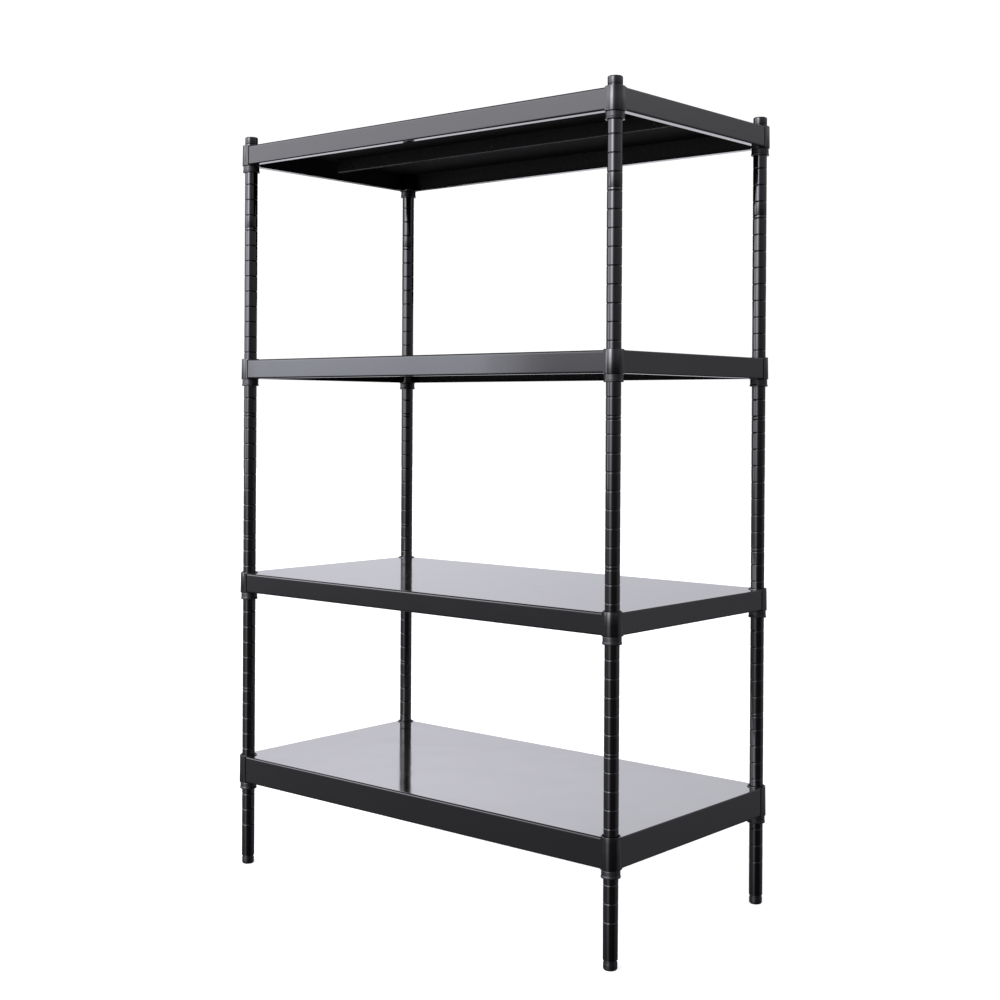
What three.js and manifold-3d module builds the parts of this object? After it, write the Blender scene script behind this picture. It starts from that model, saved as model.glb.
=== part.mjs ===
// Four-tier sheet-steel shelving rack on grooved round posts, in millimetres, +Z up.
// Origin: centre of the rack's plan, at the height of the floor. +X runs along the long side, +Y to the back.
// Each shelf is an inverted tray with a collar welded in each corner. The collar sits on a tapered split sleeve,
// and the sleeve's inner bead sits in a groove of the post, so a shelf lifts straight up off its sleeves.
import * as THREE from "three";
import { mergeVertices } from "three/addons/utils/BufferGeometryUtils.js";
import Module from "manifold-3d";

// Posts
const POST_SPACING_X = 750;
const POST_SPACING_Y = 378;
const POST_RADIUS = 10.5;
const TUBE_WALL = 1.2;
const FOOT_HEIGHT = 13.4;
const POST_JOINT_Z = 1061;
const POST_TOP_Z = 1200.3;
const CAP_TOP_Z = 1212.5;

// Grooves: one every inch, counted down from a datum groove
const GROOVE_PITCH = 25.4;
const GROOVE_DATUM_Z = 751.5;
const GROOVE_DEPTH = 0.6;
const GROOVE_HALF_HEIGHT = 1.1;

// Shelves
const SHELF_OVERHANG = 13;
const SHEET = 1;
const DECK_DROP = 1.5;
const RETURN_FLANGE = 13;
const SHOULDER_RADIUS = 3;
const COLLAR_TOP_RADIUS = 14.2;
const COLLAR_BOTTOM_RADIUS = 14.8;
const COLLAR_WALL = 1.5;
const CORNER_NOTCH = 4.5;

// Tiers from the floor up: height of the collar, and the groove that its sleeves clip into.
// A collar's top edge stands COLLAR_ABOVE_GROOVE over that groove.
const COLLAR_ABOVE_GROOVE = 14.6;
const TIERS = [
  { name: "t1", collarHeight: 45.5, groove: 23 },
  { name: "t2", collarHeight: 34, groove: 11 },
  { name: "t3", collarHeight: 34, groove: -3 },
  { name: "t4", collarHeight: 34, groove: -17 },
];
for (const tier of TIERS) {
  tier.collarTop = grooveZ(tier.groove) + COLLAR_ABOVE_GROOVE;
}

// Sleeves
const SLEEVE_SHOWN = 11;
const SLEEVE_RECESS = 2.5;
const SLEEVE_LIP_RADIUS = 13.8;
const SLEEVE_LIP_HEIGHT = 3;
const SPLIT_ANGLE = -Math.PI / 8;

// Stiffener under each deck
const STIFFENER_LENGTH = 710;
const STIFFENER_WIDTH = 22;
const STIFFENER_DEPTH = 21.5;
const STIFFENER_LOWER_FLANGE = 9;
const STIFFENER_HOLE_SPACING = 315;
const STIFFENER_HOLE_RADIUS = 2;

const GAP = 0.3;
const SIDES = 16;

const CORNERS = [
  { name: "fl", sx: -1, sy: -1 },
  { name: "fr", sx: 1, sy: -1 },
  { name: "rl", sx: -1, sy: 1 },
  { name: "rr", sx: 1, sy: 1 },
];

const blackPaint = new THREE.MeshStandardMaterial({ color: 0x1d1c1e, roughness: 0.25, metalness: 0.3 });
const blackTube = new THREE.MeshStandardMaterial({ color: 0x1b1a1c, roughness: 0.32, metalness: 0.3 });
const blackPlastic = new THREE.MeshStandardMaterial({ color: 0x17171a, roughness: 0.5, metalness: 0 });
const zincSteel = new THREE.MeshStandardMaterial({ color: 0x9a9c9e, roughness: 0.4, metalness: 0.9 });

const wasm = await Module();
wasm.setup();

// A closed three.js geometry as a manifold-3d solid.
function toSolid(geometry) {
  const g = geometry.clone();
  g.deleteAttribute("normal");
  g.deleteAttribute("uv");
  const merged = mergeVertices(g, 1e-4);
  return new wasm.Manifold(
    new wasm.Mesh({
      numProp: 3,
      vertProperties: merged.attributes.position.array,
      triVerts: new Uint32Array(merged.index.array),
    }),
  );
}

// A manifold-3d solid as a three.js geometry with flat-shaded normals.
function toGeometry(solid) {
  const mesh = solid.getMesh();
  const indexed = new THREE.BufferGeometry();
  indexed.setAttribute("position", new THREE.BufferAttribute(mesh.vertProperties, 3));
  indexed.setIndex(new THREE.BufferAttribute(mesh.triVerts, 1));
  const g = indexed.toNonIndexed();
  g.computeVertexNormals();
  return g;
}

function boxSolid(x0, x1, y0, y1, z0, z1) {
  const g = new THREE.BoxGeometry(x1 - x0, y1 - y0, z1 - z0);
  g.translate((x0 + x1) / 2, (y0 + y1) / 2, (z0 + z1) / 2);
  return toSolid(g);
}

// A body of revolution about Z. The profile is [radius, z] pairs, in order up the outside.
function turned(profile, sides = SIDES) {
  const points = profile.map(([r, z]) => new THREE.Vector2(r, z));
  const onAxis = profile[0][0] === 0;
  if (!onAxis) points.push(points[0].clone());
  const g = new THREE.LatheGeometry(points, sides);
  g.rotateX(Math.PI / 2);
  return g;
}

// A tapered round solid about Z through (x, y).
function coneSolid(x, y, z0, z1, rBottom, rTop) {
  const profile = [
    [0, z0],
    [rBottom, z0],
    [rTop, z1],
    [0, z1],
  ];
  return toSolid(turned(profile)).translate(x, y, 0);
}

function grooveZ(n) {
  return GROOVE_DATUM_Z - GROOVE_PITCH * n;
}

// Profile points of one groove cut into a cylinder, going up.
function groovePoints(z) {
  return [
    [POST_RADIUS, z - GROOVE_HALF_HEIGHT],
    [POST_RADIUS - GROOVE_DEPTH, z],
    [POST_RADIUS, z + GROOVE_HALF_HEIGHT],
  ];
}

// Threaded plug swaged into a tube's end: how deep it goes, and the radius of its hole
const PLUG_LENGTH = 18;
const FOOT_STUD_RADIUS = 4.2;
const JOINT_STUD_RADIUS = 4.7;

// Lower post: a tube with a threaded plug at each end, from the foot up to the joint.
function lowerPost() {
  const z0 = FOOT_HEIGHT + GAP;
  const z1 = POST_JOINT_Z - GAP / 2;
  const bore = POST_RADIUS - TUBE_WALL;
  const footHole = FOOT_STUD_RADIUS + GAP;
  const studHole = JOINT_STUD_RADIUS + GAP;
  const grooves = TIERS.slice(0, 3).flatMap((tier) => groovePoints(grooveZ(tier.groove)));
  return turned([
    [footHole, z0],
    [POST_RADIUS, z0],
    ...grooves,
    [POST_RADIUS, z1],
    [studHole, z1],
    [studHole, z1 - PLUG_LENGTH],
    [bore, z1 - PLUG_LENGTH],
    [bore, z0 + PLUG_LENGTH],
    [footHole, z0 + PLUG_LENGTH],
  ]);
}

// Upper post: a short tube, plugged at the joint and open at the top for the cap.
function upperPost() {
  const z0 = POST_JOINT_Z + GAP / 2;
  const bore = POST_RADIUS - TUBE_WALL;
  const studHole = JOINT_STUD_RADIUS + GAP;
  return turned([
    [studHole, z0],
    [POST_RADIUS, z0],
    ...groovePoints(grooveZ(TIERS[3].groove)),
    [POST_RADIUS, POST_TOP_Z],
    [bore, POST_TOP_Z],
    [bore, z0 + PLUG_LENGTH],
    [studHole, z0 + PLUG_LENGTH],
  ]);
}

// Threaded stud that joins the two lengths of a post.
function jointStud() {
  const reach = PLUG_LENGTH - 2;
  return turned([
    [0, POST_JOINT_Z - reach],
    [JOINT_STUD_RADIUS - 0.8, POST_JOINT_Z - reach],
    [JOINT_STUD_RADIUS, POST_JOINT_Z - reach + 1],
    [JOINT_STUD_RADIUS, POST_JOINT_Z + reach - 1],
    [JOINT_STUD_RADIUS - 0.8, POST_JOINT_Z + reach],
    [0, POST_JOINT_Z + reach],
  ]);
}

// Cap: a head flush with the tube, on a plug inside it.
function postCap() {
  const plugRadius = POST_RADIUS - TUBE_WALL - GAP;
  const headZ = POST_TOP_Z + GAP;
  return turned([
    [0, headZ - 14],
    [plugRadius - 0.8, headZ - 14],
    [plugRadius, headZ - 12],
    [plugRadius, headZ],
    [POST_RADIUS, headZ],
    [POST_RADIUS, CAP_TOP_Z - 2],
    [POST_RADIUS - 2, CAP_TOP_Z],
    [0, CAP_TOP_Z],
  ]);
}

// Levelling foot: a round pad with a recessed neck, on a stud that screws into the post.
function levellingFoot() {
  const padTop = FOOT_HEIGHT - 3;
  const studTop = FOOT_HEIGHT + 26;
  return turned([
    [0, 0],
    [8.5, 0],
    [10, 1.5],
    [10, padTop],
    [9.2, padTop],
    [9.2, FOOT_HEIGHT],
    [FOOT_STUD_RADIUS, FOOT_HEIGHT],
    [FOOT_STUD_RADIUS, studTop],
    [0, studTop],
  ]);
}

// Bore of a collar at height z above the collar's bottom edge.
function collarBore(tier, z) {
  const share = z / tier.collarHeight;
  const outer = COLLAR_BOTTOM_RADIUS + (COLLAR_TOP_RADIUS - COLLAR_BOTTOM_RADIUS) * share;
  return outer - COLLAR_WALL;
}

// Half of a sleeve: a tapered shell with a lip at the bottom and a bead inside for the post's groove.
function sleeveHalf(tier, side) {
  const bottom = tier.collarTop - tier.collarHeight - SLEEVE_SHOWN;
  const top = tier.collarTop - SLEEVE_RECESS;
  const collarBottom = tier.collarTop - tier.collarHeight;
  const bore = POST_RADIUS + GAP;
  const beadZ = grooveZ(tier.groove);
  const bead = POST_RADIUS - GROOVE_DEPTH + GAP;
  const shell = turned([
    [bore, bottom],
    [SLEEVE_LIP_RADIUS, bottom],
    [SLEEVE_LIP_RADIUS, bottom + SLEEVE_LIP_HEIGHT],
    [collarBore(tier, 0) - GAP, bottom + SLEEVE_LIP_HEIGHT],
    [collarBore(tier, top - collarBottom) - GAP, top],
    [bore, top],
    [bore, beadZ + 0.8],
    [bead, beadZ],
    [bore, beadZ - 0.8],
  ]);
  const other = new THREE.BoxGeometry(60, 40, 80);
  other.translate(0, -side * (20 - GAP / 2), (bottom + top) / 2);
  other.rotateZ(SPLIT_ANGLE);
  return toGeometry(toSolid(shell).subtract(toSolid(other)));
}

// A block with its top long edges rounded, extruded along X.
function trayBlock(halfX, halfY, z0, z1, radius) {
  const outline = new THREE.Shape();
  outline.moveTo(-halfY, z0);
  outline.lineTo(halfY, z0);
  outline.lineTo(halfY, z1 - radius);
  outline.absarc(halfY - radius, z1 - radius, radius, 0, Math.PI / 2);
  outline.lineTo(radius - halfY, z1);
  outline.absarc(radius - halfY, z1 - radius, radius, Math.PI / 2, Math.PI);
  outline.closePath();
  const g = new THREE.ExtrudeGeometry(outline, { depth: 2 * halfX, bevelEnabled: false, curveSegments: 3 });
  g.translate(0, 0, -halfX);
  g.rotateX(Math.PI / 2);
  g.rotateZ(Math.PI / 2);
  return toSolid(g);
}

// Shelf: deck, four fascias and their return flanges bent from one sheet, with four collars welded in.
function shelf(tier) {
  const halfX = POST_SPACING_X / 2 + SHELF_OVERHANG;
  const halfY = POST_SPACING_Y / 2 + SHELF_OVERHANG;
  const deckTop = tier.collarTop - DECK_DROP;
  const bottom = tier.collarTop - tier.collarHeight + 1;
  const collarBottom = tier.collarTop - tier.collarHeight;
  const mouthX = halfX - RETURN_FLANGE;
  const mouthY = halfY - RETURN_FLANGE;
  let tray = trayBlock(halfX, halfY, bottom, deckTop, SHOULDER_RADIUS);
  const hollow = trayBlock(halfX - SHEET, halfY - SHEET, bottom + SHEET, deckTop - SHEET, SHOULDER_RADIUS - SHEET);
  tray = tray.subtract(hollow);
  tray = tray.subtract(boxSolid(-mouthX, mouthX, -mouthY, mouthY, bottom - 1, bottom + SHEET + 1));
  const notch = SHELF_OVERHANG + CORNER_NOTCH;
  for (const { sx, sy } of CORNERS) {
    const cx = sx * (halfX - notch / 2 + 1);
    const cy = sy * (halfY - notch / 2 + 1);
    const half = notch / 2 + 1;
    tray = tray.subtract(boxSolid(cx - half, cx + half, cy - half, cy + half, bottom - 1, deckTop + 1));
  }
  for (const { sx, sy } of CORNERS) {
    const x = (sx * POST_SPACING_X) / 2;
    const y = (sy * POST_SPACING_Y) / 2;
    tray = tray.add(coneSolid(x, y, collarBottom, tier.collarTop, COLLAR_BOTTOM_RADIUS, COLLAR_TOP_RADIUS));
  }
  for (const { sx, sy } of CORNERS) {
    const x = (sx * POST_SPACING_X) / 2;
    const y = (sy * POST_SPACING_Y) / 2;
    const low = collarBore(tier, -2);
    const high = collarBore(tier, tier.collarHeight + 2);
    tray = tray.subtract(coneSolid(x, y, collarBottom - 2, tier.collarTop + 2, low, high));
  }
  return toGeometry(tray);
}

// Stiffener: a channel spot-welded under the deck, its upright web towards the front, with small holes in the web.
function stiffener(tier) {
  const top = tier.collarTop - DECK_DROP - SHEET - GAP;
  const low = top - STIFFENER_DEPTH;
  const front = -STIFFENER_WIDTH / 2;
  const outline = new THREE.Shape([
    new THREE.Vector2(front, low),
    new THREE.Vector2(front + STIFFENER_LOWER_FLANGE, low),
    new THREE.Vector2(front + STIFFENER_LOWER_FLANGE, low + SHEET),
    new THREE.Vector2(front + SHEET, low + SHEET),
    new THREE.Vector2(front + SHEET, top - SHEET),
    new THREE.Vector2(front + STIFFENER_WIDTH, top - SHEET),
    new THREE.Vector2(front + STIFFENER_WIDTH, top),
    new THREE.Vector2(front, top),
  ]);
  const rail = new THREE.ExtrudeGeometry(outline, { depth: STIFFENER_LENGTH, bevelEnabled: false });
  rail.translate(0, 0, -STIFFENER_LENGTH / 2);
  rail.rotateX(Math.PI / 2);
  rail.rotateZ(Math.PI / 2);
  let solid = toSolid(rail);
  for (const i of [-1, 0, 1]) {
    const hole = new THREE.CylinderGeometry(STIFFENER_HOLE_RADIUS, STIFFENER_HOLE_RADIUS, 6, 8);
    hole.translate(i * STIFFENER_HOLE_SPACING, front, top - 0.72 * STIFFENER_DEPTH);
    solid = solid.subtract(toSolid(hole));
  }
  return toGeometry(solid);
}

const rack = new THREE.Group();

function place(name, geometry, material, x = 0, y = 0) {
  const mesh = new THREE.Mesh(geometry, material);
  mesh.name = name;
  mesh.position.set(x, y, 0);
  rack.add(mesh);
}

const POST_PIECES = [
  ["foot", levellingFoot(), blackPlastic],
  ["post_lower", lowerPost(), blackTube],
  ["post_stud", jointStud(), zincSteel],
  ["post_upper", upperPost(), blackTube],
  ["post_cap", postCap(), blackPlastic],
];

for (const corner of CORNERS) {
  const x = (corner.sx * POST_SPACING_X) / 2;
  const y = (corner.sy * POST_SPACING_Y) / 2;
  for (const [name, geometry, material] of POST_PIECES) {
    place(name + "_" + corner.name, geometry, material, x, y);
  }
}

for (const tier of TIERS) {
  place("shelf_" + tier.name, shelf(tier), blackPaint);
  place("stiffener_" + tier.name, stiffener(tier), blackPaint);
  const halves = { a: sleeveHalf(tier, 1), b: sleeveHalf(tier, -1) };
  for (const corner of CORNERS) {
    const x = (corner.sx * POST_SPACING_X) / 2;
    const y = (corner.sy * POST_SPACING_Y) / 2;
    for (const [half, geometry] of Object.entries(halves)) {
      place("sleeve_" + tier.name + "_" + corner.name + "_" + half, geometry, blackPlastic, x, y);
    }
  }
}

export default rack;
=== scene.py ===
import math

import bmesh
import bpy
from mathutils import Matrix, Vector


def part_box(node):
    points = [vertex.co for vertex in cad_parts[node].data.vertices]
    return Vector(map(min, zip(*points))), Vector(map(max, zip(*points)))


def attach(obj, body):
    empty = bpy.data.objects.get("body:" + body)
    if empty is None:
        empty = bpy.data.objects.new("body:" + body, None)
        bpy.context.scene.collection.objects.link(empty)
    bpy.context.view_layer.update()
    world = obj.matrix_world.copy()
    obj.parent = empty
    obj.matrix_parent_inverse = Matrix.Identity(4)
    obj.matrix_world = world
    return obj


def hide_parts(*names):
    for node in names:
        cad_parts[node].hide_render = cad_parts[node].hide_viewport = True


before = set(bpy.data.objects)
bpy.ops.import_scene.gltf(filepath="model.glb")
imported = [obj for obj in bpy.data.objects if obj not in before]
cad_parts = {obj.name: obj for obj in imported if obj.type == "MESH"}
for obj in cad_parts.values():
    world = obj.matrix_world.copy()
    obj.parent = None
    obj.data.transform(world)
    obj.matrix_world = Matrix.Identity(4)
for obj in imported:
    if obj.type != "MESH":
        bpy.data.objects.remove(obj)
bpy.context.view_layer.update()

MM = 0.001
CORNERS = {"fl": (-1, -1), "fr": (1, -1), "rl": (-1, 1), "rr": (1, 1)}
TIERS = ("t1", "t2", "t3", "t4")


def cad_mm(node):
    """The lowest and highest corner of a CAD node, in millimetres."""
    low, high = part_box(node)
    return low / MM, high / MM


# ---------------------------------------------------------------- sizes, read from the frame
lower_low, lower_high = cad_mm("post_lower_fr")
upper_low, upper_high = cad_mm("post_upper_fr")
POST_X = (lower_low.x + lower_high.x) / 2
POST_Y = -(lower_low.y + lower_high.y) / 2
POST_R = (lower_high.x - lower_low.x) / 2
TUBE_BOTTOM = lower_low.z
SEAM_LOW, SEAM_HIGH = lower_high.z, upper_low.z
TUBE_TOP = upper_high.z
CAP_TOP = cad_mm("post_cap_fr")[1].z
FOOT_TOP = cad_mm("foot_fr")[1].z
TUBE_WALL = 1.2
JOINT_GAP = 0.3

# ---------------------------------------------------------------- sizes of details
# Grooves: one each inch, numbered downwards from a datum groove. Some have a second groove just below.
GROOVE_PITCH = 25.4
GROOVE_DATUM = 751.5
GROOVE_FIRST, GROOVE_LAST = -17, 27
DOUBLE_GROOVES = (0, 8, 18)
DOUBLE_DROP = 5.0

# Trays: the reach past the post's centre line, the sheet, how far the collars stand above the deck and reach
# below the flange, the return flange, the outer radii of the bends, and the cut in the sheet round each post.
OVERHANG = 13.0
TRAY_X, TRAY_Y = POST_X + OVERHANG, POST_Y + OVERHANG
SHEET = 1.0
DECK_DROP, COLLAR_BELOW = 1.5, 1.0
FLANGE = 13.0
LONG_SHOULDER, SHORT_SHOULDER = 3.0, 1.3
BOTTOM_BEND = 2.4
NOTCH_R = 13.6
COLLAR_TOP_R, COLLAR_BOTTOM_R, COLLAR_WALL = 14.2, 14.8, 1.5
UPPER_COLLAR_HEIGHT = 34.0

# Collar wings: how far inward of the post's centre line each one starts and ends, and its thickness.
WING_START, WING_END, WING_PLATE = -7.7, -2.6, 0.9

# Stiffener: the drop of its holes is a share of its depth.
RAIL_LOWER_FLANGE = 9.0
RAIL_HOLE_R, RAIL_HOLE_SPACING, RAIL_HOLE_DROP = 2.0, 315.0, 0.72

# Sleeves: the part that shows below a collar, the radii of lip, rib, body and waist, and the split.
SLEEVE_SHOWN = 11.0
LIP_R, RIB_R, BODY_R, WAIST_R = 13.8, 13.62, 13.25, 13.05
SPLIT_ANGLE = -22.5
SPLIT_WIDTH = 0.8

# Feet
PAD_R, PAD_BASE_R, NECK_R, NECK_HEIGHT, FOOT_STUD_R = 10.0, 8.6, 9.2, 3.0, 4.1

# ---------------------------------------------------------------- mesh tools


def rounded(points, closed=True, steps=4):
    """A polyline whose corners are rounded: each point is (x, y) or (x, y, radius)."""
    out = []
    count = len(points)
    for i, p in enumerate(points):
        radius = p[2] if len(p) > 2 else 0
        at = Vector(p[:2])
        if not radius or (not closed and i in (0, count - 1)):
            out.append(tuple(at))
            continue
        before, after = Vector(points[i - 1][:2]), Vector(points[(i + 1) % count][:2])
        a, b = (before - at).normalized(), (after - at).normalized()
        half = a.angle(b) / 2
        reach = radius / math.tan(half)
        centre = at + (a + b).normalized() * (radius / math.sin(half))
        first, last = at + a * reach - centre, at + b * reach - centre
        turn = first.angle_signed(last)
        for k in range(steps + 1):
            v = first.copy()
            v.rotate(Matrix.Rotation(-turn * k / steps, 2))
            out.append(tuple(centre + v))
    return out


def revolve(bm, profile, segments=64, start=0.0, sweep=360.0, centre=(0, 0)):
    """A closed solid of revolution about Z. The profile is a closed loop of (radius, z), anticlockwise
    seen with the radius to the right and z up. Points on the axis share one vertex."""
    full = sweep >= 360.0
    columns = segments if full else segments + 1
    rings = []
    for radius, z in profile:
        if radius < 1e-6:
            v = bm.verts.new((centre[0], centre[1], z))
            rings.append([v] * columns)
            continue
        ring = []
        for c in range(columns):
            a = math.radians(start + sweep * c / segments)
            ring.append(bm.verts.new((centre[0] + radius * math.cos(a), centre[1] + radius * math.sin(a), z)))
        rings.append(ring)
    for i, ring in enumerate(rings):
        above = rings[(i + 1) % len(rings)]
        if ring[0] is ring[-1] and above[0] is above[-1]:
            continue
        for c in range(segments):
            d = (c + 1) % columns
            corners = []
            for v in (ring[c], ring[d], above[d], above[c]):
                if v not in corners:
                    corners.append(v)
            bm.faces.new(corners)
    if not full:
        bm.faces.new([r[0] for r in rings])
        bm.faces.new([r[-1] for r in reversed(rings)])


def prism(bm, outline, low, high, axis):
    """A closed solid: an outline in the two other axes, extruded along the x or y axis from low to high."""

    def at(p, h):
        return (h, p[0], p[1]) if axis == "x" else (p[0], h, p[1])

    a = [bm.verts.new(at(p, low)) for p in outline]
    b = [bm.verts.new(at(p, high)) for p in outline]
    n = len(outline)
    for i in range(n):
        j = (i + 1) % n
        bm.faces.new((a[i], a[j], b[j], b[i]))
    bm.faces.new(list(reversed(a)))
    bm.faces.new(b)


def finished_mesh(name, bm, materials, sharp=32.0, recalc=True):
    """Turns the working mesh, in millimetres, into a smooth-shaded mesh in metres."""
    if recalc:
        bmesh.ops.recalc_face_normals(bm, faces=bm.faces)
    bmesh.ops.scale(bm, vec=(MM, MM, MM), verts=bm.verts)
    mesh = bpy.data.meshes.new(name)
    bm.to_mesh(mesh)
    bm.free()
    for m in materials:
        mesh.materials.append(m)
    mesh.shade_smooth()
    mesh.set_sharp_from_angle(angle=math.radians(sharp))
    return mesh


def add_piece(name, mesh, body, nodes, location=(0, 0, 0)):
    """Puts a mesh in the scene at a place in millimetres, riding on a body and standing for CAD nodes."""
    obj = bpy.data.objects.new(name, mesh)
    bpy.context.scene.collection.objects.link(obj)
    obj.location = Vector(location) * MM
    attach(obj, body)
    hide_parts(*nodes)
    return obj


def applied(obj):
    """Applies every modifier of an object to a new mesh of its own."""
    bpy.context.view_layer.update()
    graph = bpy.context.evaluated_depsgraph_get()
    mesh = bpy.data.meshes.new_from_object(obj.evaluated_get(graph))
    obj.modifiers.clear()
    obj.data = mesh
    return mesh


# ---------------------------------------------------------------- materials


def new_material(name, colour, roughness, ior=1.5, metallic=0.0, specular=0.5):
    material = bpy.data.materials.new(name)
    material.use_nodes = True
    shader = material.node_tree.nodes["Principled BSDF"]
    shader.inputs["Base Color"].default_value = (*colour, 1)
    shader.inputs["Roughness"].default_value = roughness
    shader.inputs["IOR"].default_value = ior
    shader.inputs["Metallic"].default_value = metallic
    shader.inputs["Specular IOR Level"].default_value = specular
    return material


def add_node(material, kind, **values):
    node = material.node_tree.nodes.new(kind)
    for key, value in values.items():
        setattr(node, key, value)
    return node


def link(material, a, b):
    material.node_tree.links.new(a, b)


def noise(material, scale, detail):
    """Noise in the object's own coordinates. The scale is in features per metre."""
    node = add_node(material, "ShaderNodeTexNoise")
    node.inputs["Scale"].default_value = scale
    node.inputs["Detail"].default_value = detail
    place = add_node(material, "ShaderNodeTexCoord")
    link(material, place.outputs["Object"], node.inputs["Vector"])
    return node.outputs["Fac"]


def spread(material, source, low, high, out_low, out_high):
    """Maps a value from one range to another, clamped."""
    node = add_node(material, "ShaderNodeMapRange")
    node.inputs["From Min"].default_value = low
    node.inputs["From Max"].default_value = high
    node.inputs["To Min"].default_value = out_low
    node.inputs["To Max"].default_value = out_high
    link(material, source, node.inputs["Value"])
    return node.outputs["Result"]


def bump(material, height, strength, distance, normal=None):
    node = add_node(material, "ShaderNodeBump")
    node.inputs["Strength"].default_value = strength
    node.inputs["Distance"].default_value = distance
    link(material, height, node.inputs["Height"])
    if normal is not None:
        link(material, normal, node.inputs["Normal"])
    return node.outputs["Normal"]


def uneven_gloss(m, shader, cloud, low, high, smoothest, roughest):
    """Lets the roughness wander between two values with a cloud of noise."""
    link(m, spread(m, cloud, low, high, smoothest, roughest), shader.inputs["Roughness"])


def two_shades(m, shader, cloud, low, high, dark, light):
    """Mixes two base colours with a cloud of noise."""
    shade = add_node(m, "ShaderNodeMix", data_type="RGBA")
    shade.inputs["A"].default_value = (*dark, 1)
    shade.inputs["B"].default_value = (*light, 1)
    link(m, spread(m, cloud, low, high, 0, 1), shade.inputs["Factor"])
    link(m, shade.outputs["Result"], shader.inputs["Base Color"])


def coat_material(name, colour, roughness, peel, sag):
    """Gloss powder coat on steel: fine orange peel, long shallow waves in the sheet, and a slight change of
    gloss from place to place."""
    m = new_material(name, colour, roughness)
    shader = m.node_tree.nodes["Principled BSDF"]
    waves = noise(m, 9.0, 1.0)
    fine = noise(m, 900.0, 2.0)
    normal = bump(m, waves, sag, 0.0015)
    normal = bump(m, fine, peel, 0.00002, normal)
    link(m, normal, shader.inputs["Normal"])
    uneven_gloss(m, shader, noise(m, 14.0, 3.0), 0.35, 0.65, roughness * 0.85, roughness * 1.2)
    two_shades(m, shader, noise(m, 2600.0, 2.0), 0.5, 0.75, colour, [c * 1.35 for c in colour])
    return m


def inside_fill_lit_material():
    """The inner face of a tray and its stiffener: a dull coat whose two tones are lightened as painted fill
    light, standing in for the light bounced up from the floor.
    """
    # Both tones are several times lighter than the outer coat: painted fill light from below. The noise
    # blotches between them are dust.
    fill_lit_tone, fill_lit_dusty_tone = (0.024, 0.0225, 0.022), (0.030, 0.028, 0.027)
    m = new_material("inside_fill_lit_coat", fill_lit_tone, 0.8, specular=0.06)
    shader = m.node_tree.nodes["Principled BSDF"]
    fine = noise(m, 700.0, 3.0)
    link(m, bump(m, fine, 0.3, 0.00003), shader.inputs["Normal"])
    two_shades(m, shader, noise(m, 120.0, 5.0), 0.4, 0.7, fill_lit_tone, fill_lit_dusty_tone)
    return m


def plastic_material(name, colour, roughness):
    """Moulded nylon with a fine spark-eroded grain."""
    m = new_material(name, colour, roughness, ior=1.46)
    shader = m.node_tree.nodes["Principled BSDF"]
    grain = noise(m, 1800.0, 3.0)
    link(m, bump(m, grain, 0.35, 0.00004), shader.inputs["Normal"])
    uneven_gloss(m, shader, noise(m, 60.0, 3.0), 0.3, 0.7, roughness * 0.85, roughness * 1.2)
    return m


def steel_material():
    """Zinc-plated stud."""
    m = new_material("zinc_steel", (0.55, 0.56, 0.57), 0.32, metallic=1.0)
    shader = m.node_tree.nodes["Principled BSDF"]
    uneven_gloss(m, shader, noise(m, 160.0, 4.0), 0.3, 0.7, 0.24, 0.42)
    return m


SHEET_COAT = coat_material("sheet_coat", (0.0028, 0.0022, 0.0024), 0.085, peel=0.25, sag=0.25)
TUBE_COAT = coat_material("tube_coat", (0.0026, 0.0019, 0.0019), 0.07, peel=0.15, sag=0.0)
# Inner faces: a dull coat with its base colour lightened as painted fill light from below.
INSIDE_FILL_LIT_COAT = inside_fill_lit_material()
SLEEVE_PLASTIC = plastic_material("sleeve_plastic", (0.005, 0.005, 0.0054), 0.34)
CAP_PLASTIC = plastic_material("cap_plastic", (0.004, 0.004, 0.0044), 0.2)
FOOT_PLASTIC = plastic_material("foot_plastic", (0.0024, 0.0022, 0.0022), 0.3)
ZINC = steel_material()

# ---------------------------------------------------------------- posts


def groove(z, half=1.0, depth=0.55):
    """One rolled groove with soft edges, from below to above."""
    return [
        (POST_R, z - half - 0.6),
        (POST_R, z - half),
        (POST_R - depth * 0.35, z - half * 0.66),
        (POST_R - depth * 0.92, z - half * 0.28),
        (POST_R - depth, z),
        (POST_R - depth * 0.92, z + half * 0.28),
        (POST_R - depth * 0.35, z + half * 0.66),
        (POST_R, z + half),
        (POST_R, z + half + 0.6),
    ]


def groove_heights(low, high):
    """Every groove between two heights, from the bottom up."""
    heights = []
    for n in range(GROOVE_FIRST, GROOVE_LAST + 1):
        z = GROOVE_DATUM - GROOVE_PITCH * n
        heights.append(z)
        if n in DOUBLE_GROOVES:
            heights.append(z - DOUBLE_DROP)
    return sorted(h for h in heights if low + 3 < h < high - 3)


def tube_mesh(name, low, high):
    """A tube with its grooves, its ends turned over to a small radius."""
    outside = rounded([(POST_R - 3, low), (POST_R, low, 0.45), (POST_R, low + 4)], closed=False)[1:-1]
    for z in groove_heights(low, high):
        outside += groove(z)
    outside += rounded([(POST_R, high - 4), (POST_R, high, 0.45), (POST_R - 3, high)], closed=False)[1:-1]
    bore = POST_R - TUBE_WALL
    bm = bmesh.new()
    revolve(bm, [(bore, low), *outside, (bore, high)], 64)
    return finished_mesh(name, bm, [TUBE_COAT], 50)


LOWER_TUBE = tube_mesh("lower_tube", TUBE_BOTTOM, SEAM_LOW)
UPPER_TUBE = tube_mesh("upper_tube", SEAM_HIGH, TUBE_TOP)


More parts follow.
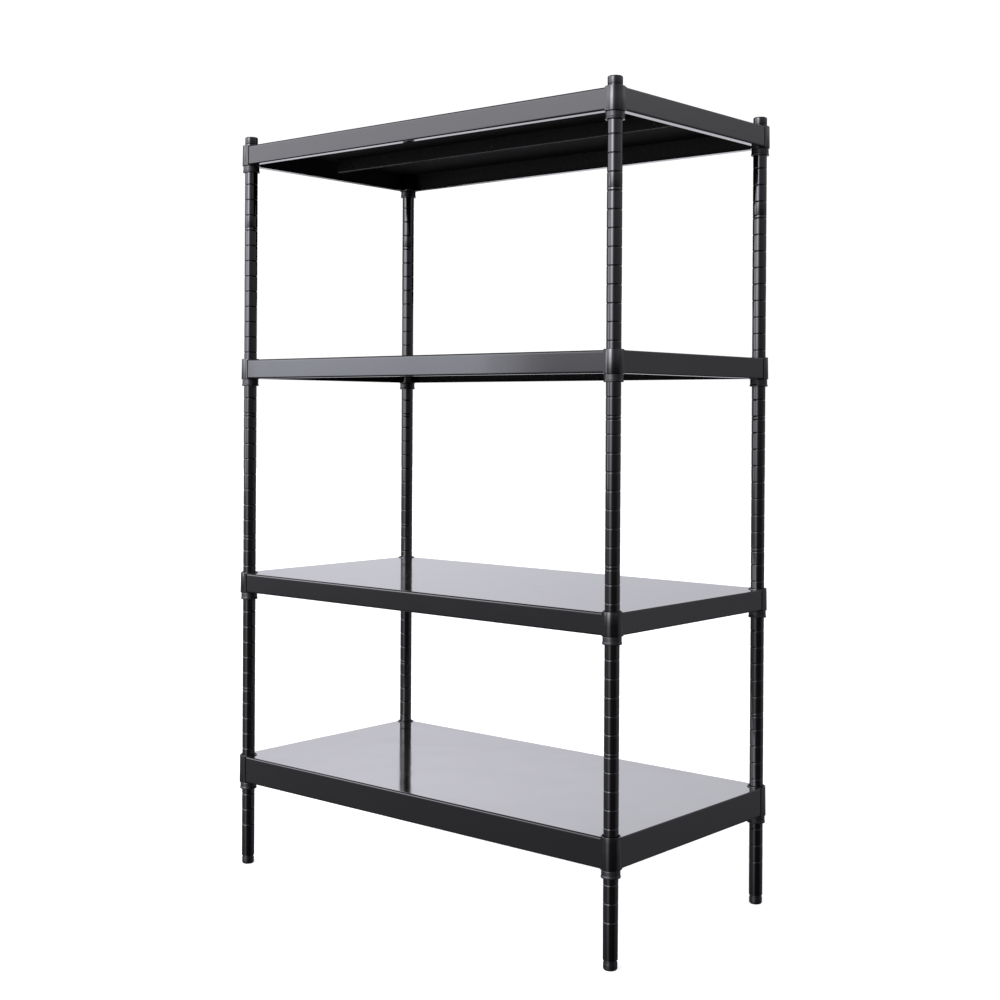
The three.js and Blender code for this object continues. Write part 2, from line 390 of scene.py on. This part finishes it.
def cap_mesh():
    """A moulded cap: a short rim flush with the tube, and a domed top."""
    low, top = TUBE_TOP + JOINT_GAP, CAP_TOP
    r = POST_R
    bm = bmesh.new()
    outline = [(0, low), (r, low, 0.35), (r, top - 1.7, 0.9), (r - 1.5, top - 0.5, 1.2), (0, top)]
    revolve(bm, rounded(outline, closed=False), 64)
    plug = [(0, low - 14), (8.2, low - 14), (8.9, low - 12), (8.9, low + 0.1), (0, low + 0.1)]
    revolve(bm, rounded(plug, closed=False), 48)
    return finished_mesh("end_cap", bm, [CAP_PLASTIC], 40)


def foot_mesh():
    """A levelling foot: a pad with a rounded foot, and a neck below the tube."""
    top = TUBE_BOTTOM - JOINT_GAP
    pad = top - NECK_HEIGHT
    bm = bmesh.new()
    outline = [
        (0, 0),
        (PAD_BASE_R, 0, 1.2),
        (PAD_R, 2.0, 1.2),
        (PAD_R, pad, 0.5),
        (NECK_R, pad),
        (NECK_R, top, 0.3),
        (0, top),
    ]
    revolve(bm, rounded(outline, closed=False), 64)
    low = top - 0.2
    stud = [
        (0, low),
        (FOOT_STUD_R, low),
        (FOOT_STUD_R, FOOT_TOP - 1),
        (FOOT_STUD_R - 0.8, FOOT_TOP),
        (0, FOOT_TOP),
    ]
    revolve(bm, stud, 32)
    return finished_mesh("glide", bm, [FOOT_PLASTIC], 40)


CAP = cap_mesh()
FOOT = foot_mesh()

for corner, (sx, sy) in CORNERS.items():
    place = (sx * POST_X, sy * POST_Y, 0)
    add_piece("lower_tube_" + corner, LOWER_TUBE, "uprights", ["post_lower_" + corner], place)
    add_piece("upper_tube_" + corner, UPPER_TUBE, "uprights", ["post_upper_" + corner], place)
    add_piece("end_cap_" + corner, CAP, "uprights", ["post_cap_" + corner], place)
    add_piece("glide_" + corner, FOOT, "leveller_" + corner, ["foot_" + corner], place)
    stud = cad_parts["post_stud_" + corner]
    stud.data.materials.clear()
    stud.data.materials.append(ZINC)

# ---------------------------------------------------------------- shelves


def notch_reach(outward):
    """How far from the post's centre line a sheet edge stops, at this distance outward of the centre."""
    return math.sqrt(NOTCH_R**2 - min(abs(outward), NOTCH_R) ** 2)


def side_section(shoulder, drop):
    """Outer face of one side, as (distance outward of the fascia, height below the deck), from the deck round
    to the free edge of the return flange. Support rows next to each bend keep the flats flat."""
    bend = BOTTOM_BEND
    rows = [(-shoulder - 1.0, 0.0)]
    for k in range(8):
        a = math.radians(90 * k / 7)
        rows.append((-shoulder + shoulder * math.sin(a), -shoulder + shoulder * math.cos(a)))
    rows += [(0.0, -shoulder - 1.0), (0.0, -drop + bend + 1.0)]
    for k in range(7):
        a = math.radians(90 * k / 6)
        rows.append((-bend + bend * math.cos(a), -drop + bend - bend * math.sin(a)))
    # Several rows across the flange, so that its ends follow the round of the collar.
    rows += [(-bend - 1.0 - (FLANGE - bend - 1.0) * k / 6, -drop) for k in range(7)]
    return rows


def tray_mesh(name, drop, collar_height):
    """A tray bent from one sheet, with collars at its corners. Height 0 is the top of the collars."""
    bm = bmesh.new()
    deck = -DECK_DROP
    sides = []
    long_side = ("y", TRAY_Y, POST_X, LONG_SHOULDER)
    short_side = ("x", TRAY_X, POST_Y, SHORT_SHOULDER)
    for axis, half, post, shoulder in (long_side, short_side):
        for sign in (-1, 1):
            rows = []
            for out, z in side_section(shoulder, drop):
                reach = post - notch_reach(OVERHANG + out)
                across = sign * (half + out)
                ends = [(-reach, across), (reach, across)]
                if axis == "x":
                    ends = [(y, x) for x, y in ends]
                rows.append([bm.verts.new((x, y, deck + z)) for x, y in ends])
            for low, high in zip(rows, rows[1:]):
                bm.faces.new((low[0], low[1], high[1], high[0]))
            sides.append((axis, sign, rows))
    # The flat of the deck: the first row of each side, joined round each notch.
    first = {(axis, sign): rows[0] for axis, sign, rows in sides}
    loop = []
    for sx, sy in ((1, -1), (1, 1), (-1, 1), (-1, -1)):
        long_end = first[("y", sy)][1 if sx > 0 else 0]
        short_end = first[("x", sx)][1 if sy > 0 else 0]
        a, b = (long_end, short_end) if sx * sy < 0 else (short_end, long_end)
        centre = Vector((sx * POST_X, sy * POST_Y, deck))
        start, end = a.co - centre, b.co - centre
        # The cut runs from one side to the other on the inner side of the post.
        first_angle, inward = math.atan2(start.y, start.x), math.atan2(-sy, -sx)
        turn = (math.atan2(end.y, end.x) - first_angle) % math.tau
        if (inward - first_angle) % math.tau > turn:
            turn -= math.tau
        loop.append(a)
        for k in range(1, 16):
            v = start.copy()
            v.rotate(Matrix.Rotation(turn * k / 16, 3, "Z"))
            loop.append(bm.verts.new(centre + v))
        loop.append(b)
    bm.faces.new(loop)
    bmesh.ops.recalc_face_normals(bm, faces=bm.faces)
    if max(bm.faces, key=lambda f: f.calc_area()).normal.z < 0:
        bmesh.ops.reverse_faces(bm, faces=bm.faces)
    # Thickness: a second skin one sheet inside, joined along the free edges.
    sheet = finished_mesh(name + "_skin", bm, [SHEET_COAT, INSIDE_FILL_LIT_COAT], 180, recalc=False)
    holder = bpy.data.objects.new(name + "_skin", sheet)
    bpy.context.scene.collection.objects.link(holder)
    thick = holder.modifiers.new("sheet", "SOLIDIFY")
    thick.thickness = SHEET * MM
    thick.offset = -1
    thick.use_even_offset = True
    thick.material_offset = 1
    thick.material_offset_rim = 0
    sheet = applied(holder)
    bpy.data.objects.remove(holder)
    bm = bmesh.new()
    bm.from_mesh(sheet)
    bmesh.ops.scale(bm, vec=(1 / MM,) * 3, verts=bm.verts)
    for sx, sy in CORNERS.values():
        add_collar(bm, sx, sy, collar_height)
    return finished_mesh(name, bm, [SHEET_COAT, INSIDE_FILL_LIT_COAT], 40, recalc=False)


def add_collar(bm, sx, sy, height):
    """A tapered collar with rounded rims and two wings that lap over the ends of the fascias."""
    low = -height
    wall = COLLAR_WALL
    outline = [
        (COLLAR_BOTTOM_R - wall, low, 0.3),
        (COLLAR_BOTTOM_R, low, 0.6),
        (COLLAR_TOP_R, 0, 0.7),
        (COLLAR_TOP_R - wall, 0, 0.5),
    ]
    centre = (sx * POST_X, sy * POST_Y)
    revolve(bm, rounded(outline), 72, centre=centre)
    for along in ("x", "y"):
        part = bmesh.new()
        wing = [
            (WING_START, low + 0.8, 0.8),
            (WING_END, low + 0.8),
            (WING_END, -1.0),
            (WING_START, -1.4, 0.8),
        ]
        prism(part, rounded(wing), 0, WING_PLATE, axis="y")
        bmesh.ops.bevel(part, geom=[e for e in part.edges if e.is_manifold and e.calc_face_angle(0) > 1.2],
                        offset=0.22, segments=2, affect="EDGES")
        # In the part, x runs toward the corner and y outward from the fascia.
        for v in part.verts:
            a, out, z = v.co
            out += OVERHANG + 0.02
            if along == "x":
                v.co = (centre[0] + sx * a, centre[1] + sy * out, z)
            else:
                v.co = (centre[0] + sx * out, centre[1] + sy * a, z)
        bmesh.ops.recalc_face_normals(part, faces=part.faces)
        join(bm, part)


def join(bm, part):
    """Copies a working mesh into another one and frees it."""
    new = {v: bm.verts.new(v.co) for v in part.verts}
    for f in part.faces:
        bm.faces.new([new[v] for v in f.verts]).material_index = f.material_index
    part.free()


def rail_mesh(low, high):
    """Stiffener: a bent channel with its web upright and three holes in the web. Height 0 is its top, and
    low and high are the corners of its CAD node."""
    front, back = low.y, high.y
    depth, length = high.z - low.z, high.x - low.x
    t, r = SHEET, 1.6
    lip = front + RAIL_LOWER_FLANGE
    outline = [
        (front, -depth, r),
        (lip, -depth, 0.3),
        (lip, -depth + t, 0.3),
        (front + t, -depth + t, r - t),
        (front + t, -t, r - t),
        (back, -t, 0.3),
        (back, 0, 0.3),
        (front, 0, r),
    ]
    bm = bmesh.new()
    prism(bm, rounded(outline), -length / 2, length / 2, axis="x")
    bmesh.ops.recalc_face_normals(bm, faces=bm.faces)
    for f in bm.faces:
        f.material_index = 1 if 0.2 < -f.normal.z < 0.99 else 0
    mesh = finished_mesh("rail", bm, [INSIDE_FILL_LIT_COAT, SHEET_COAT], 30)
    holder = bpy.data.objects.new("rail", mesh)
    bpy.context.scene.collection.objects.link(holder)
    bm = bmesh.new()
    for i in (-1, 0, 1):
        hole = bmesh.new()
        revolve(hole, [(0, -3), (RAIL_HOLE_R, -3), (RAIL_HOLE_R, 3), (0, 3)], 24)
        bmesh.ops.rotate(hole, verts=hole.verts, cent=(0, 0, 0), matrix=Matrix.Rotation(math.pi / 2, 3, "X"))
        place = (i * RAIL_HOLE_SPACING, front, -RAIL_HOLE_DROP * depth)
        bmesh.ops.translate(hole, verts=hole.verts, vec=place)
        join(bm, hole)
    cutter = bpy.data.objects.new("drill", finished_mesh("drill", bm, [INSIDE_FILL_LIT_COAT]))
    bpy.context.scene.collection.objects.link(cutter)
    cut = holder.modifiers.new("holes", "BOOLEAN")
    cut.object = cutter
    cut.operation = "DIFFERENCE"
    cut.solver = "EXACT"
    mesh = applied(holder)
    bpy.data.objects.remove(holder)
    bpy.data.objects.remove(cutter)
    mesh.set_sharp_from_angle(angle=math.radians(30))
    return mesh


def tray_sizes(tier):
    """Collar top, collar height, and depth of the tray below its deck, from the CAD node."""
    low, high = cad_mm("shelf_" + tier)
    height = high.z - low.z
    return high.z, height, height - DECK_DROP - COLLAR_BELOW


RAIL = rail_mesh(*cad_mm("stiffener_t4"))
trays = {}
for tier in TIERS:
    top, height, drop = tray_sizes(tier)
    key = round(height, 2)
    if key not in trays:
        trays[key] = tray_mesh("sheet_tray", drop, height)
    body = "tray_" + tier
    add_piece("sheet_tray_" + tier, trays[key], body, ["shelf_" + tier], (0, 0, top))
    rail_top = cad_mm("stiffener_" + tier)[1].z
    add_piece("rail_" + tier, RAIL, body, ["stiffener_" + tier], (0, 0, rail_top))

# ---------------------------------------------------------------- sleeves


def sleeve_mesh(name, height, bead, side):
    """Half of a split sleeve, with a lip at its foot, a bead inside and a short rib. Height 0 is its foot."""
    bore = POST_R + JOINT_GAP
    narrowing = (COLLAR_BOTTOM_R - COLLAR_TOP_R) * (height - SLEEVE_SHOWN) / UPPER_COLLAR_HEIGHT
    outline = [
        (bore, 0, 0.2),
        (LIP_R, 0, 0.45),
        (LIP_R, 2.3, 0.5),
        (BODY_R, 3.6, 0.5),
        (BODY_R, SLEEVE_SHOWN - 1.2, 0.3),
        (WAIST_R, SLEEVE_SHOWN - 0.6, 0.2),
        (WAIST_R - narrowing, height, 0.3),
        (bore, height),
        (bore, bead + 0.8),
        (POST_R - 0.25, bead),
        (bore, bead - 0.8),
    ]
    gap = math.degrees(SPLIT_WIDTH / 2 / 12.5)
    start = SPLIT_ANGLE + (0 if side == "a" else 180) + gap
    bm = bmesh.new()
    revolve(bm, rounded(outline, steps=3), 36, start=start, sweep=180 - 2 * gap)
    low, high = 3.9, SLEEVE_SHOWN - 1.4
    rib = rounded([(13.0, low), (RIB_R, low, 0.15), (RIB_R, high, 0.15), (13.0, high)], steps=2)
    revolve(bm, rib, 2, start=start + 11, sweep=3.2)
    bmesh.ops.recalc_face_normals(bm, faces=bm.faces)
    return finished_mesh(name, bm, [SLEEVE_PLASTIC], 35)


sleeves = {}
for tier in TIERS:
    top, height, _ = tray_sizes(tier)
    for side in ("a", "b"):
        low, high = cad_mm("sleeve_" + tier + "_fl_" + side)
        bead = next(z for z in reversed(groove_heights(TUBE_BOTTOM, TUBE_TOP)) if z < top - 10)
        key = (round(height, 2), side)
        if key not in sleeves:
            sleeves[key] = sleeve_mesh("sleeve_" + side, high.z - low.z, bead - low.z, side)
        for corner, (sx, sy) in CORNERS.items():
            node = "_".join(("sleeve", tier, corner, side))
            name = "_".join(("clip", tier, corner, side))
            place = (sx * POST_X, sy * POST_Y, low.z)
            add_piece(name, sleeves[key], "uprights", [node], place)

# ---------------------------------------------------------------- studio


def softbox(name, centre, target, width, height, radiance):
    """A slightly blue rectangular light of even radiance. The camera doesn't see it; reflections do."""
    data = bpy.data.lights.new(name, "AREA")
    data.shape = "RECTANGLE"
    data.size, data.size_y = width, height
    data.energy = radiance * math.pi * width * height
    data.color = (0.93, 0.97, 1.1)
    data.spread = math.pi
    obj = bpy.data.objects.new(name, data)
    bpy.context.scene.collection.objects.link(obj)
    obj.location = centre
    obj.rotation_euler = (Vector(target) - Vector(centre)).to_track_quat("-Z", "Y").to_euler()
    obj.visible_camera = False


def world_ramp(tree, factor, stops):
    """A curve through (position, value) stops, which start at 0 and end at 1."""
    node = tree.nodes.new("ShaderNodeValToRGB")
    ramp = node.color_ramp
    ramp.interpolation = "EASE"
    for position, value in stops:
        if position in (0.0, 1.0):
            ramp.elements[0 if position == 0.0 else -1].color = (value, value, value, 1)
        else:
            ramp.elements.new(position).color = (value, value, value, 1)
    tree.links.new(factor, node.inputs["Fac"])
    return node.outputs["Color"]


def world_math(tree, operation, a, b=None):
    node = tree.nodes.new("ShaderNodeMath")
    node.operation = operation
    for socket, value in zip(node.inputs, (a, b)):
        if value is None:
            continue
        if isinstance(value, (int, float)):
            socket.default_value = value
        else:
            tree.links.new(value, socket)
    return node.outputs[0]


# The studio, in metres and degrees. Compass directions are 0 in front and 90 to the right.
FLAG_RADIUS = 1.25
FLAG_HEIGHTS = (1.02, 3.0)
FLAG_FROM, FLAG_TO = 156, 282
WHITE_SEEN = 1.05
FLOOR_SIZE = 14

# The surroundings that the object mirrors: each part is a radiance by compass direction times a change with
# elevation.
STUDIO = [
    {  # softboxes in front and to the left, and a dim room to the right
        "around": [(-180, 0), (-118, 0), (-105, 0.3), (-88, 0.7), (-68, 2.0), (-50, 2.6), (-30, 2.8),
                   (-20, 4.0), (-12, 8.8), (4, 8.8), (13, 3.5), (22, 0.8), (44, 0.34), (75, 0.42), (95, 0.5),
                   (112, 0), (180, 0)],
        "height": [(-90, 0.05), (-30, 0.08), (-17, 0.13), (-12, 0.18), (-8, 0.18), (-4, 0.3), (0, 0.55),
                   (4, 1.0), (10, 1.5), (15, 1.9), (24, 1.5), (34, 0.6), (50, 0.3), (90, 0.3)],
    },
    {  # backdrop
        "around": [(-180, 0.5), (-165, 0.75), (-150, 0.9), (-134, 1.05), (-118, 0.8), (-105, 0.0), (95, 0.0),
                   (112, 0.5), (130, 0.6), (144, 0.66), (150, 0.48), (160, 0.4), (180, 0.5)],
        "height": [(-90, 0.1), (-30, 0.3), (-17, 0.55), (-12, 0.75), (-4, 0.8), (0, 0.75), (4, 0.9),
                   (7, 1.05), (10, 1.35), (15, 2.1), (30, 1.5), (45, 0.7), (90, 0.5)],
    },
    {  # floor behind the object
        "around": [(-180, 0), (-165, 0), (-150, 0.7), (-130, 0.62), (-115, 0), (180, 0)],
        "height": [(-90, 0.2), (-30, 0.8), (-20, 1.1), (-9, 0.9), (-5, 0.2), (0, 0), (90, 0)],
    },
]


def make_world():
    """The camera sees plain white round the object, and every other ray sees the studio."""
    world = bpy.data.worlds.new("studio")
    bpy.context.scene.world = world
    world.use_nodes = True
    tree = world.node_tree
    tree.nodes.clear()
    out = tree.nodes.new("ShaderNodeOutputWorld")
    seen, given = tree.nodes.new("ShaderNodeBackground"), tree.nodes.new("ShaderNodeBackground")
    seen.inputs["Color"].default_value = (1.0, 1.0, 1.0, 1)
    seen.inputs["Strength"].default_value = WHITE_SEEN
    place = tree.nodes.new("ShaderNodeTexCoord")
    split = tree.nodes.new("ShaderNodeSeparateXYZ")
    tree.links.new(place.outputs["Generated"], split.inputs[0])
    back = world_math(tree, "MULTIPLY", split.outputs["Y"], -1)
    around = world_math(tree, "ARCTAN2", split.outputs["X"], back)
    around = world_math(tree, "MULTIPLY", around, 1 / (2 * math.pi))
    around = world_math(tree, "ADD", around, 0.5)
    height = world_math(tree, "ARCSINE", split.outputs["Z"])
    height = world_math(tree, "MULTIPLY", height, 1 / math.pi)
    height = world_math(tree, "ADD", height, 0.5)
    total = 0.0
    for part in STUDIO:
        radiance = world_math(
            tree, "MULTIPLY",
            world_ramp(tree, around, [((d + 180) / 360, v) for d, v in part["around"]]),
            world_ramp(tree, height, [((d + 90) / 180, v) for d, v in part["height"]]),
        )
        total = world_math(tree, "ADD", radiance, total)
    tree.links.new(total, given.inputs["Strength"])
    given.inputs["Color"].default_value = (0.96, 0.955, 1.04, 1)
    path = tree.nodes.new("ShaderNodeLightPath")
    mix = tree.nodes.new("ShaderNodeMixShader")
    tree.links.new(path.outputs["Is Camera Ray"], mix.inputs[0])
    tree.links.new(given.outputs[0], mix.inputs[1])
    tree.links.new(seen.outputs[0], mix.inputs[2])
    tree.links.new(mix.outputs[0], out.inputs["Surface"])


def make_floor():
    """A pale floor that fades into the white round it and isn't mirrored in the object."""
    bm = bmesh.new()
    bmesh.ops.create_grid(bm, x_segments=1, y_segments=1, size=FLOOR_SIZE)
    mesh = bpy.data.meshes.new("studio_floor")
    bm.to_mesh(mesh)
    bm.free()
    m = new_material("floor_paper", (0.6, 0.6, 0.6), 0.9, specular=0.0)
    shader = m.node_tree.nodes["Principled BSDF"]
    shader.inputs["Emission Color"].default_value = (1, 1, 1, 1)
    shader.inputs["Emission Strength"].default_value = 0.75
    mesh.materials.append(m)
    floor = bpy.data.objects.new("studio_floor", mesh)
    bpy.context.scene.collection.objects.link(floor)
    floor.visible_glossy = False
    floor.visible_diffuse = False


def make_flag():
    """A black board bent round the back of the object, above the height of the third shelf. It keeps the
    backdrop out of the outlines of the posts, and the decks below it still mirror the backdrop."""
    bm = bmesh.new()
    rings = []
    for k in range(25):
        a = math.radians(FLAG_FROM + (FLAG_TO - FLAG_FROM) * k / 24)
        x, y = FLAG_RADIUS * math.sin(a), -FLAG_RADIUS * math.cos(a)
        rings.append([bm.verts.new((x, y, z)) for z in FLAG_HEIGHTS])
    for a, b in zip(rings, rings[1:]):
        bm.faces.new((a[0], b[0], b[1], a[1]))
    mesh = bpy.data.meshes.new("flag")
    bm.to_mesh(mesh)
    bm.free()
    mesh.materials.append(new_material("flag_cloth", (0.0, 0.0, 0.0), 1.0, specular=0.0))
    flag = bpy.data.objects.new("flag", mesh)
    bpy.context.scene.collection.objects.link(flag)
    flag.visible_camera = False
    flag.visible_shadow = False
    flag.visible_diffuse = False


make_world()
make_floor()
make_flag()
softbox("left_light", (-1.98, -2.08, 0.95), (0, -0.2, 0.9), 0.8, 0.9, 3.1)
softbox("left_edge_light", (-1.66, -2.40, 0.95), (0, -0.2, 0.9), 0.14, 0.9, 1.5)

# ---------------------------------------------------------------- camera

CAMERA_PLACE = (1.61168, -1.87959, 0.75553)
CAMERA_AZIMUTH = math.radians(40.3950)
CAMERA_PITCH, CAMERA_ROLL = 0.0035005, 0.0055365
CAMERA_LENS, CAMERA_SENSOR, CAMERA_SHIFT_Y = 55.459, 36, -0.0823


def make_camera():
    """The camera that the photograph was taken with, nearly level and slightly rolled."""
    level = Vector((math.cos(CAMERA_AZIMUTH), math.sin(CAMERA_AZIMUTH), 0))
    ahead = Vector((-level.y, level.x, 0))
    forward = ahead * math.cos(CAMERA_PITCH) - Vector((0, 0, math.sin(CAMERA_PITCH)))
    up = level.cross(forward)
    right = level * math.cos(CAMERA_ROLL) + up * math.sin(CAMERA_ROLL)
    top = up * math.cos(CAMERA_ROLL) - level * math.sin(CAMERA_ROLL)
    data = bpy.data.cameras.new("photo_camera")
    data.sensor_width = CAMERA_SENSOR
    data.lens = CAMERA_LENS
    data.shift_y = CAMERA_SHIFT_Y
    data.clip_end = 100
    camera = bpy.data.objects.new("photo_camera", data)
    bpy.context.scene.collection.objects.link(camera)
    matrix = Matrix((right, top, -forward)).transposed().to_4x4()
    matrix.translation = CAMERA_PLACE
    camera.matrix_world = matrix
    bpy.context.scene.camera = camera


make_camera()
bpy.context.scene.view_settings.view_transform = "Standard"
